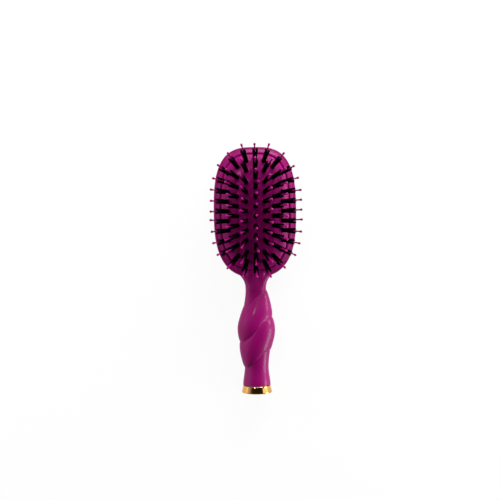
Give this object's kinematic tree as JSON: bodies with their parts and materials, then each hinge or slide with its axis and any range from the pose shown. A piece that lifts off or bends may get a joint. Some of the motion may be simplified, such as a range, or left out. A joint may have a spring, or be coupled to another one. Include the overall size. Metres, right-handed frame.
{
  "type": "cushion hairbrush",
  "caption": "Oval cushion hairbrush: boar bristle tufts, each with a ball-tipped nylon pin, on a domed rubber cushion, with a spirally banded handle and a metal end cap.",
  "frame": {"origin": "on the flat back that the brush rests on, under the middle of the cushion", "axes": "+Z out along the bristles, +Y along the brush towards the tip of the head, X across the head"},
  "size_m": [0.082, 0.2228, 0.0462],
  "materials": {
    "body_plastic": "satin moulded magenta",
    "cushion_rubber": "smooth magenta rubber",
    "pin_nylon": "semi-gloss magenta nylon",
    "boar_bristle": "black natural bristle",
    "cap_metal": "polished gold tone"
  },
  "bodies": {
    "brush": {"handle_body": "body_plastic", "cushion_frame": "body_plastic", "cushion_pad": "cushion_rubber", "end_cap": "cap_metal"},
    "bristle_field": {"pin_row_01": "pin_nylon", "pin_row_02": "pin_nylon", "pin_row_03": "pin_nylon", "pin_row_04": "pin_nylon", "pin_row_05": "pin_nylon", "pin_row_06": "pin_nylon", "pin_row_07": "pin_nylon", "pin_row_08": "pin_nylon", "pin_row_09": "pin_nylon", "pin_row_10": "pin_nylon", "pin_row_11": "pin_nylon", "pin_row_12": "pin_nylon", "pin_row_13": "pin_nylon", "pin_row_14": "pin_nylon", "pin_row_15": "pin_nylon", "pin_row_16": "pin_nylon", "pin_row_17": "pin_nylon", "pin_row_18": "pin_nylon", "pin_row_19": "pin_nylon", "pin_row_20": "pin_nylon", "pin_row_21": "pin_nylon", "pin_row_22": "pin_nylon", "pin_row_23": "pin_nylon", "bristles_tip": "boar_bristle", "bristles_upper": "boar_bristle", "bristles_lower": "boar_bristle", "bristles_heel": "boar_bristle"}
  },
  "joints": [
    {"name": "cushion_press", "type": "slide", "parent": "brush", "child": "bristle_field", "axis": [0, 0, 1], "range_m": [-0.003, 0], "stiffness_N_per_m": 1500, "deforming": ["cushion_pad"]}
  ]
}
